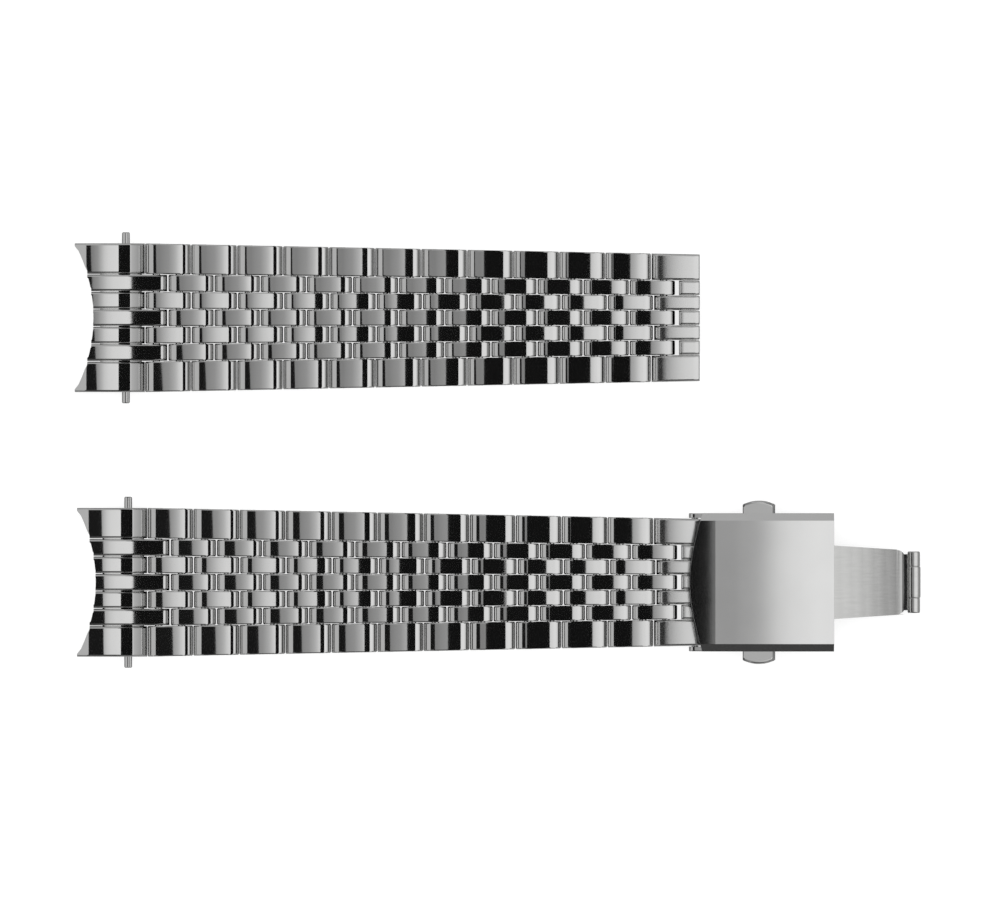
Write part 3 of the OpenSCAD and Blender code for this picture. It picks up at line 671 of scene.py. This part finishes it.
def build_end_pieces(settings):
    """Each end piece is seven columns on a core, with its hinge pin, and one is notched for the tube."""
    height, radius, groove = mm(settings.piece_height), mm(settings.piece_r), mm(settings.piece_groove)

    def profile(draw, share, i):
        if i % 2:
            points = [(POCKET_S, 0.0)] + [(POCKET_S + x, z) for x, z in POCKET_TOP]
        else:
            middle = LAST_PIN + (OUTER_KNUCKLE if i in (0, COLUMNS - 1) else INNER_KNUCKLE)
            points = [(middle + LINK_R * math.sin(a), PIN_Z + LINK_R * math.cos(a)) for a in KNUCKLE_ROUND]
            points[0] = (points[0][0], 0.0)
            edge = points[-1][0]
            points += [(edge + x, z) for x, z in KNUCKLE_TOP]
        start = points[-1][0]
        flat = [start + (END_S - TOP_END - start) * n / TOP_STEPS for n in range(1, TOP_STEPS + 1)]
        points += [(x, height - radius + math.sqrt(radius**2 - (x - PIECE_TOP_S) ** 2)) for x in flat]
        top = points[-1][1]
        points += [(END_S - x, top - drop) for x, drop in PIECE_LIP] + [(END_S, 0.0)]
        return [(x, drawn(z, draw)) for x, z in points]

    def tools(half):
        notch = [block(NOTCH_LOW, NOTCH_HIGH)] if half == "12" else []
        return [rod(CROSS_S, CROSS_Z, CROSS_R)] + notch

    for half, (x0, y0) in HALVES.items():
        parts = [cut(column_part(i, profile, groove), tools(half)) for i in range(COLUMNS)]
        right = END_S - PIECE_CORE_INSET
        ring = [(POCKET_S, 0.0), (POCKET_S, PIECE_CORE_LEFT_Z), (right, PIECE_CORE_RIGHT_Z), (right, 0.0)]
        parts.append(cut(extrusion("core", ring, PIECE_CORE_W), tools(half)))
        parts.append(rod(LAST_PIN, PIN_Z, PIN_R, row_w(LAST_PIN) / 2 + END_PIN_OUT))
        obj = merge(f"end_piece_{half}_shape", parts, (x0, y0, 0), FACET, "satin")
        stand_for(obj, f"end_piece_{half}")


# Clasp: tilts of the polish on the cover, the blade and the buttons, as places along the clasp and degrees
CREASE_U = 2.71
COVER_TILT = [(-0.8, -9), (0.7, -6.4), (2.0, -5.2), (CREASE_U, -4.95), (CREASE_U + 0.02, -0.7), (5.2, -0.4),
              (6.2, 0.15), (7.1, 0.42), (8.06, 0.9), (9, 1.77), (9.94, 2.95), (10.87, 4.15), (11.8, 5.6),
              (12.75, 7), (13.7, 9), (14.6, 12), (16.5, 16), (18.6, 16)]
BLADE_TILT = [(18.5, 5), (19.3, 4.7), (20.25, 4.35), (21.2, 3.6), (22.1, 3), (23.1, 2.2), (24, 1.4),
              (24.9, 0.5), (25.9, -0.3), (26.8, -0.8), (27.7, -2), (27.8, -20), (28.2, -20)]
CAP_TILT = [(0, 1.4), (20, 1.4)]
POLISH_H = 4  # height of the polished faces over the curve
TILT_REACH, WALL_SLACK = 0.4, 0.01  # reach past a table's end, and slack in telling the walls from the top

# The cover's round left end, its crease, its rings, its pin holes and its windows, cut by blocks in its walls
COVER_LAP, LEFT_RUN, LEFT_ROUND, CREASE_GAP = 0.725, 6, 2, 0.03
TOP_STEPS_ACROSS, LEFT_RINGS, RIGHT_RINGS, PAST_CREASE = 28, 8, 36, 1.0001
EDGE_RINGS = ((0.05, 0.0), (0.012, 0.014), (0.0, 0.05))  # draw-in and step at both ends
COVER_PIN_R, COVER_HINGE_H, WINDOW_IN, WINDOW_OUT = 0.46, 1.75, 8, 11

# The cover's ears, measured from the cross pin
EAR_R, EAR_FOOT, EAR_END, EAR_LOW = 0.8, 0.4, 2.2, 0.6
EAR_ROUND = [math.radians(d) for d in range(270, 95, -10)]
EAR_TOP = ((0.0, 0.8), (1.3, 0.76))
EAR_BEND, EAR_BEND_AS = 1.36, 1.5  # its place along, and the place whose plate is as high
EAR_INSET, EAR_INNER_EDGE, EAR_OUTER_EDGE = 0.01, 0.05, 0.1

# The blades and the tube at their free end
BLADE_SLICES = [18.5 + 0.5 * i for i in range(19)] + [27.7, 27.8, 28.2]
BLADE_SHARP, BLADE_SMOOTH, BLADE_FLAT = 35, 30, 1  # degrees
SLEEVE_PLAY, TUBE_MID_L, TUBE_END_R, TUBE_END = 0.03, 2.08, 0.8, 4.1
SLEEVE_ENDS = [(0.12, -0.02), (0.04, 0.05), (0.0, 0.16)]  # draw-in and step

# The buttons' caps: edges over their height as (share of the half height, draw-in)
CAP_EDGES = [(0.7, 0), (0.8, 0.03), (0.9, 0.1), (0.97, 0.2), (1, 0.3), (1, 0.38)]
CAP_SKIN, CAP_CORNER, CAP_ROOT, CAP_STEPS, CAP_NARROWS = 0.015, 0.35, 8.3, 8, 0.5
CAP_TURNS = [math.radians(20 * n) for n in (1, 2, 3, 4)]


def curve(u, h):
    """Height of a place on the clasp, h above its curve."""
    return ARCH_Z + math.sqrt((ARCH_R + h) ** 2 - (u - ARCH_U) ** 2)


def on_curve(obj, u):
    """Moves a shape drawn about the clasp's curve to its place on it."""
    a = math.asin((u - ARCH_U) / ARCH_R)
    obj.data.transform(Matrix.Translation((u, 0, curve(u, 0))) @ Matrix.Rotation(a, 4, "Y"))
    return obj


def lean_to(obj, tilts, wall_top=None, flat=None):
    """Stores how far each vertex's normal leans from the true one to follow a table of tilts.
    wall_top leaves out the cover's side walls and ears, which end at that height over the curve.
    flat gives the true tilt of a shape that is not curved."""
    mesh = obj.data
    field = mesh.attributes.new("lean", "FLOAT", "POINT")
    for v, value in zip(mesh.vertices, field.data):
        u, y, z = v.co.x / MM - CLASP[0], abs(v.co.y / MM - CLASP[1]), v.co.z / MM
        on_wall = wall_top and y > INNER_ROOM - WALL_SLACK and z < curve(u, wall_top) - 2 * WALL_SLACK
        if u > tilts[-1][0] + TILT_REACH or on_wall:
            continue
        wanted = math.radians(polyline(tilts, min(max(u, tilts[0][0]), tilts[-1][0])))
        own = math.asin((u - ARCH_U) / (ARCH_R + POLISH_H)) if flat is None else flat
        value.value = math.tan(wanted) - math.tan(own)


def cover_shell(bevel, drop):
    """The cover's arched plate with its bevels and side walls, as rings along the clasp."""
    half, bend = COVER_W / 2, COVER_W / 2 - bevel
    top = [-bend + 2 * bend * i / TOP_STEPS_ACROSS for i in range(TOP_STEPS_ACROSS + 1)]
    outer = [(-half, WALL_LOW), (-half, PLATE_TOP - drop)] + [(y, PLATE_TOP) for y in top]
    outer += [(half, PLATE_TOP - drop), (half, WALL_LOW)]
    inner = [(INNER_ROOM, WALL_LOW), (INNER_ROOM, PLATE_LOW)] + [(y, PLATE_LOW) for y in reversed(top)]
    inner += [(-INNER_ROOM, PLATE_LOW), (-INNER_ROOM, WALL_LOW)]

    def ring(t, inset=0.0, step=0.0):
        """A ring at t, which is 0 at the round left end, 1 at the crease and 2 at the right end."""
        points = []
        for y, h in outer + inner:
            left = LEFT_ROUND * (math.sqrt(1 + (y / LEFT_RUN) ** 2) - 1) - COVER_LAP
            start = CREASE_U + CREASE_GAP
            u = left + (CREASE_U - left) * t if t <= 1 else start + (COVER_RIGHT - start) * (t - 1)
            drawn_in = inset if h > PLATE_LOW else 0
            points.append((u + step, y, max(curve(u + step, h - drawn_in), LOWEST)))
        return points

    rings = [ring(0, inset, step) for inset, step in EDGE_RINGS]
    rings += [ring(i / LEFT_RINGS) for i in range(1, LEFT_RINGS + 1)]
    rings += [ring(PAST_CREASE + i / RIGHT_RINGS) for i in range(RIGHT_RINGS)]
    rings += [ring(2, inset, -step) for inset, step in reversed(EDGE_RINGS)]
    return loft("cover", rings)


def cover_ear(side):
    """One of the ears that carry the cover on its cross pin."""
    profile = [(EAR_R * math.cos(a), CROSS_Z + EAR_R * math.sin(a)) for a in EAR_ROUND]
    profile += [(x, CROSS_Z + z) for x, z in EAR_TOP]
    profile += [(EAR_BEND, curve(EAR_BEND_AS, PLATE_LOW)), (EAR_END, curve(EAR_END, PLATE_LOW)),
                (EAR_END, CROSS_Z - EAR_LOW), (EAR_FOOT, CROSS_Z - EAR_R)]
    y0, y1 = side * (INNER_ROOM + EAR_INSET), side * (COVER_W / 2 - EAR_INSET)
    edges = ((y0, EAR_INNER_EDGE), (y0 + side * EAR_INNER_EDGE, 0),
             (y1 - side * EAR_OUTER_EDGE, 0), (y1, EAR_OUTER_EDGE))
    rings = [[(x * (1 - d / 2), y, CROSS_Z + (z - CROSS_Z) * (1 - d)) for x, z in profile] for y, d in edges]
    return cut(loft("ear", rings), [rod(0, CROSS_Z, COVER_PIN_R)])


def build_cover(settings):
    """The clasp's cover with its windows for the buttons, its hinge hole and its ears."""
    play = mm(settings.window_play)
    reach, half_h = BUTTON_L / 2 + play, BUTTON_H / 2 + play
    low, high = BUTTON_MID - half_h, BUTTON_MID + half_h
    tools = [on_curve(block((-reach, side * WINDOW_IN, low), (reach, side * WINDOW_OUT, high)), BUTTON_U)
             for side in (-1, 1)]
    tools.append(rod(COVER_HINGE, curve(COVER_HINGE, COVER_HINGE_H), COVER_PIN_R))
    parts = [cut(cover_shell(mm(settings.bevel), mm(settings.bevel_drop)), tools)]
    parts += [cover_ear(side) for side in (-1, 1)]
    obj = merge("clasp_cover_shape", parts, CLASP, FACET, "fine")
    lean_to(obj, COVER_TILT, wall_top=PLATE_TOP - mm(settings.bevel_drop))
    stand_for(obj, "clasp_cover")


def softened(node, width, slices=()):
    """A copy of a CAD node's shape in millimetres from the cross pin, with its sharp edges rounded.
    slices gives the places along it where its faces are divided."""
    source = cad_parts[node]
    bm = bmesh.new()
    bm.from_mesh(source.data)
    matrix = Matrix.Translation(-Vector(CLASP)) @ Matrix.Scale(1 / MM, 4) @ source.matrix_world
    bmesh.ops.transform(bm, matrix=matrix, verts=bm.verts)
    bmesh.ops.remove_doubles(bm, verts=bm.verts, dist=WELD)
    bmesh.ops.dissolve_limit(bm, angle_limit=math.radians(BLADE_FLAT), verts=bm.verts, edges=bm.edges)
    sharp = [edge for edge in bm.edges if len(edge.link_faces) == 2
             and edge.calc_face_angle(0) > math.radians(BLADE_SHARP)]
    bmesh.ops.bevel(bm, geom=sharp, offset=width, segments=2, profile=0.5, affect="EDGES", clamp_overlap=True)
    for x in slices:
        bmesh.ops.bisect_plane(bm, geom=bm.verts[:] + bm.edges[:] + bm.faces[:], plane_co=(x, 0, 0),
                               plane_no=(1, 0, 0))
    mesh = bpy.data.meshes.new(node)
    bm.to_mesh(mesh)
    bm.free()
    return bpy.data.objects.new(node, mesh)


def build_blades(settings):
    """Both blades, and the outer one's tube as three sleeves."""
    edge = mm(settings.blade_edge)
    parts = [softened("outer_blade", edge, BLADE_SLICES)]
    sleeves = ((-TUBE_MID_L, TUBE_MID_L, TUBE_MID_R), (TUBE_MID_L, TUBE_END, TUBE_END_R),
               (-TUBE_END, -TUBE_MID_L, TUBE_END_R))
    for y0, y1, radius in sleeves:
        r = radius + SLEEVE_PLAY
        profile = [(y0 + step, r - draw) for draw, step in SLEEVE_ENDS]
        profile += [(y1 - step, r - draw) for draw, step in reversed(SLEEVE_ENDS)]
        parts.append(turned_rod(profile, TUBE_REACH, TUBE_MID_R + SLEEVE_PLAY))
    obj = merge("outer_blade_shape", parts, CLASP, BLADE_SMOOTH, "blade")
    lean_to(obj, BLADE_TILT)
    stand_for(obj, "outer_blade")
    obj = merge("inner_blade_shape", [softened("inner_blade", edge)], CLASP, BLADE_SMOOTH, "blade")
    stand_for(obj, "inner_blade")


def build_buttons(settings):
    """A cap over each button's face, with rounded edges and corners."""
    face, radius = COVER_W / 2 + mm(settings.button_out), mm(settings.button_r)
    edges = [(-z, draw) for z, draw in reversed(CAP_EDGES)] + CAP_EDGES
    for side, name in ((1, "button_left"), (-1, "button_right")):
        rings = []
        for z, draw in edges:
            reach = BUTTON_L / 2 + CAP_SKIN - draw * CAP_NARROWS
            bend = reach - CAP_CORNER
            end = math.asin(bend / radius)
            line = [(radius * math.sin(a), face - radius + (radius + CAP_SKIN) * math.cos(a) - draw)
                    for a in [end * (n / CAP_STEPS - 1) for n in range(2 * CAP_STEPS + 1)]]
            edge = line[-1][1] - CAP_CORNER
            right = [(bend + CAP_CORNER * math.sin(a), edge + CAP_CORNER * math.cos(a)) for a in CAP_TURNS]
            right.append((reach, CAP_ROOT))
            left = [(-x, y) for x, y in reversed(right)]
            h = BUTTON_MID + z * (BUTTON_H / 2 + CAP_SKIN)
            rings.append([(x, y * side, h) for x, y in left + line + right])
        obj = merge(f"{name}_cap", [on_curve(loft(name, rings), BUTTON_U)], CLASP, FACET, "fine")
        lean_to(obj, CAP_TILT, flat=math.asin((BUTTON_U - ARCH_U) / ARCH_R))
        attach(obj, name)


# The CAD's own meshes: starts of the names of the polished ones
BRIGHT = ("spring_bars", "clasp_pins", "tip_", "button_left", "button_right", "outer_row", "centre_row")


def dress_small_parts():
    """Gives the CAD nodes their steel, of which the small parts stay in view."""
    for name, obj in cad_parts.items():
        bright = name.startswith(BRIGHT)
        finish = "spring" if name == "button_springs" else "polished" if bright else "brushed"
        for s in obj.material_slots:
            s.material = steel(finish)
        if not obj.material_slots:
            obj.data.materials.append(steel(finish))


# Stage: the cards' tones and corners and the sky's tones by angle, which only show reflected in the steel
VIEW_X, SENSOR_W, FAR = -0.08, 36, 20
FLOOR_SIZE, FLOOR_Z = 3.0, -0.00003
SKY = [(-90, 0.42), (-42, 0.42), (-38, 0.21), (-8, 0.205), (0, 0.275), (4.6, 0.40), (9.6, 0.552), (15, 0.625),
       (34, 0.686), (56, 0.686), (76, 0.45), (90, 0.2)]
STEEL_TONE = 0.74  # the sky's tones are those that this steel shows of it
SIDE_TONE, SIDE_MORE, SIDE_FROM, SIDE_TO = 0.055, 0.43, 0.5, 0.8
CARDS = {
    "right_card": (0.006, [(-5.3, -90, 45), (19.7, -90, 60.6), (19.7, 90, 60.6), (-5.3, 90, 45)]),
    "right_card_side": (0.006, [(-5.3, -90, 45), (-5.3, 90, 45), (-5.3, 90, 78), (-5.3, -90, 78)]),
    "left_card": (0.01, [(-112, -90, 150), (-20, -90, 150), (-40.3, -25.2, 150), (-45.9, -10.4, 150),
                         (-57.3, 10.4, 150), (-79.6, 25.2, 150), (-108, 60, 150), (-112, 60, 150)]),
    "beige_card": (0.57, [(-500, -90, 150), (-112, -90, 150), (-112, 90, 150), (-500, 90, 150)])}


def flat_object(name, corners):
    """A single face with its own empty material: gives the object and its material's net."""
    mesh = bpy.data.meshes.new(name)
    mesh.from_pydata(corners, [], [tuple(range(len(corners)))])
    mat = bpy.data.materials.new(name)
    net = empty_net(mat)
    return new_object(name, mesh, mat), net


def build_sky():
    """A white sky for the camera and a graded one for the steel."""
    world = bpy.context.scene.world or bpy.data.worlds.new("studio")
    bpy.context.scene.world = world
    net = empty_net(world)
    x, y, z = net.split(net.get("ShaderNodeTexCoord", "Generated"))
    angle = x.atan2(z) * (180 / math.pi)
    stops = [((place + 90) / 180, tone / STEEL_TONE) for place, tone in SKY]
    ramp = net.get("ShaderNodeValToRGB", 0, {0: (angle + 90.0) / 180.0}, stops=stops)
    side_tone = (y > 0.0) * SIDE_MORE + SIDE_TONE
    glossy = net.get("ShaderNodeMix", "Result", {"Factor": y.abs().step(SIDE_FROM, SIDE_TO), "A": ramp,
                                             "B": side_tone}, data_type="FLOAT")
    ray = net.get("ShaderNodeLightPath", "Is Glossy Ray")
    seen = net.node("ShaderNodeBackground", {"Color": (1, 1, 1, 1), "Strength": 1.0})
    mirrored = net.node("ShaderNodeBackground", {"Color": glossy})
    mix = net.node("ShaderNodeMixShader", {0: ray, 1: seen.outputs[0], 2: mirrored.outputs[0]})
    net.node("ShaderNodeOutputWorld", {"Surface": mix.outputs[0]})


def build_stage(settings):
    """The sky, the floor, the reflected cards and the camera."""
    build_sky()
    floor, net = flat_object("floor", [(x * FLOOR_SIZE, y * FLOOR_SIZE, FLOOR_Z)
                                       for x, y in ((-1, -1), (1, -1), (1, 1), (-1, 1))])
    ray = net.get("ShaderNodeLightPath", "Is Camera Ray")
    base = net.node("ShaderNodeBsdfDiffuse", {"Color": (*settings.floor, 1)})
    tone = settings.floor_glow
    glow = net.node("ShaderNodeEmission", {"Color": (tone, tone, tone, 1), "Strength": ray})
    both = net.node("ShaderNodeAddShader", {0: base.outputs[0], 1: glow.outputs[0]})
    net.node("ShaderNodeOutputMaterial", {"Surface": both.outputs[0]})
    for name, (tone, corners) in CARDS.items():
        card, net = flat_object(name, [Vector(c) * MM for c in corners])
        glow = net.node("ShaderNodeEmission", {"Color": (tone, tone, tone, 1)})
        net.node("ShaderNodeOutputMaterial", {"Surface": glow.outputs[0]})
        card.visible_camera = card.visible_diffuse = card.visible_shadow = False

    data = bpy.data.cameras.new("camera")
    data.lens, data.sensor_width, data.clip_end = settings.lens, SENSOR_W, FAR
    camera = bpy.data.objects.new("camera", data)
    bpy.context.collection.objects.link(camera)
    camera.location = (VIEW_X * MM, 0, settings.view_width * data.lens / data.sensor_width)
    bpy.context.scene.camera = camera
    bpy.context.scene.view_settings.view_transform = "Standard"


# Operators
class BRACELET_OT_link_rows(Operator):
    """Builds the outer and centre rows of both halves"""
    bl_idname = "bracelet.link_rows"
    bl_label = "Link rows"

    def execute(self, context):
        build_rows(context.scene.bracelet.links)
        return {"FINISHED"}


class BRACELET_OT_end_links(Operator):
    """Builds the end links that meet the watch case"""
    bl_idname = "bracelet.end_links"
    bl_label = "End links"

    def execute(self, context):
        build_end_links(context.scene.bracelet.ends)
        return {"FINISHED"}


class BRACELET_OT_end_pieces(Operator):
    """Builds the solid end pieces of both halves"""
    bl_idname = "bracelet.end_pieces"
    bl_label = "End pieces"

    def execute(self, context):
        build_end_pieces(context.scene.bracelet.ends)
        return {"FINISHED"}


class BRACELET_OT_clasp_cover(Operator):
    """Builds the arched cover of the clasp"""
    bl_idname = "bracelet.clasp_cover"
    bl_label = "Clasp cover"

    def execute(self, context):
        build_cover(context.scene.bracelet.clasp)
        return {"FINISHED"}


class BRACELET_OT_clasp_blades(Operator):
    """Builds the two folding blades of the clasp"""
    bl_idname = "bracelet.clasp_blades"
    bl_label = "Clasp blades"

    def execute(self, context):
        build_blades(context.scene.bracelet.clasp)
        return {"FINISHED"}


class BRACELET_OT_push_buttons(Operator):
    """Builds the caps of the two push buttons"""
    bl_idname = "bracelet.push_buttons"
    bl_label = "Push buttons"

    def execute(self, context):
        build_buttons(context.scene.bracelet.clasp)
        return {"FINISHED"}


class BRACELET_OT_small_parts(Operator):
    """Gives the CAD's own small parts their steel"""
    bl_idname = "bracelet.small_parts"
    bl_label = "Small parts"

    def execute(self, context):
        dress_small_parts()
        return {"FINISHED"}


class BRACELET_OT_stage(Operator):
    """Builds the floor, the reflected sky and cards, and the camera"""
    bl_idname = "bracelet.stage"
    bl_label = "Stage"

    def execute(self, context):
        build_stage(context.scene.bracelet.stage)
        return {"FINISHED"}


SETTINGS = (BraceletSteel, BraceletLinks, BraceletEnds, BraceletClasp, BraceletStage, BraceletSettings)
OPERATORS = (BRACELET_OT_link_rows, BRACELET_OT_end_links, BRACELET_OT_end_pieces, BRACELET_OT_clasp_cover,
             BRACELET_OT_clasp_blades, BRACELET_OT_push_buttons, BRACELET_OT_small_parts, BRACELET_OT_stage)


class BRACELET_PT_sidebar(Panel):
    """Lists the bracelet's settings and the steps that build it"""
    bl_idname = "BRACELET_PT_sidebar"
    bl_label = "Steel watch bracelet"
    bl_space_type = "VIEW_3D"
    bl_region_type = "UI"
    bl_category = "Bracelet"

    def draw(self, context):
        for part in ("steel", "links", "ends", "clasp", "stage"):
            box = self.layout.box()
            box.label(text=part.capitalize())
            group = getattr(context.scene.bracelet, part)
            for name in group.bl_rna.properties.keys():
                if name not in ("rna_type", "name"):
                    box.prop(group, name)
        for operator in OPERATORS:
            self.layout.operator(operator.bl_idname)


CLASSES = (*SETTINGS, *OPERATORS, BRACELET_PT_sidebar)


def register():
    for cls in CLASSES:
        bpy.utils.register_class(cls)
    bpy.types.Scene.bracelet = PointerProperty(type=BraceletSettings)


def unregister():
    del bpy.types.Scene.bracelet
    for cls in reversed(CLASSES):
        bpy.utils.unregister_class(cls)


def main():
    register()
    bpy.ops.bracelet.link_rows()
    bpy.ops.bracelet.end_links()
    bpy.ops.bracelet.end_pieces()
    bpy.ops.bracelet.clasp_cover()
    bpy.ops.bracelet.clasp_blades()
    bpy.ops.bracelet.push_buttons()
    bpy.ops.bracelet.small_parts()
    bpy.ops.bracelet.stage()


if __name__ == "__main__":
    main()
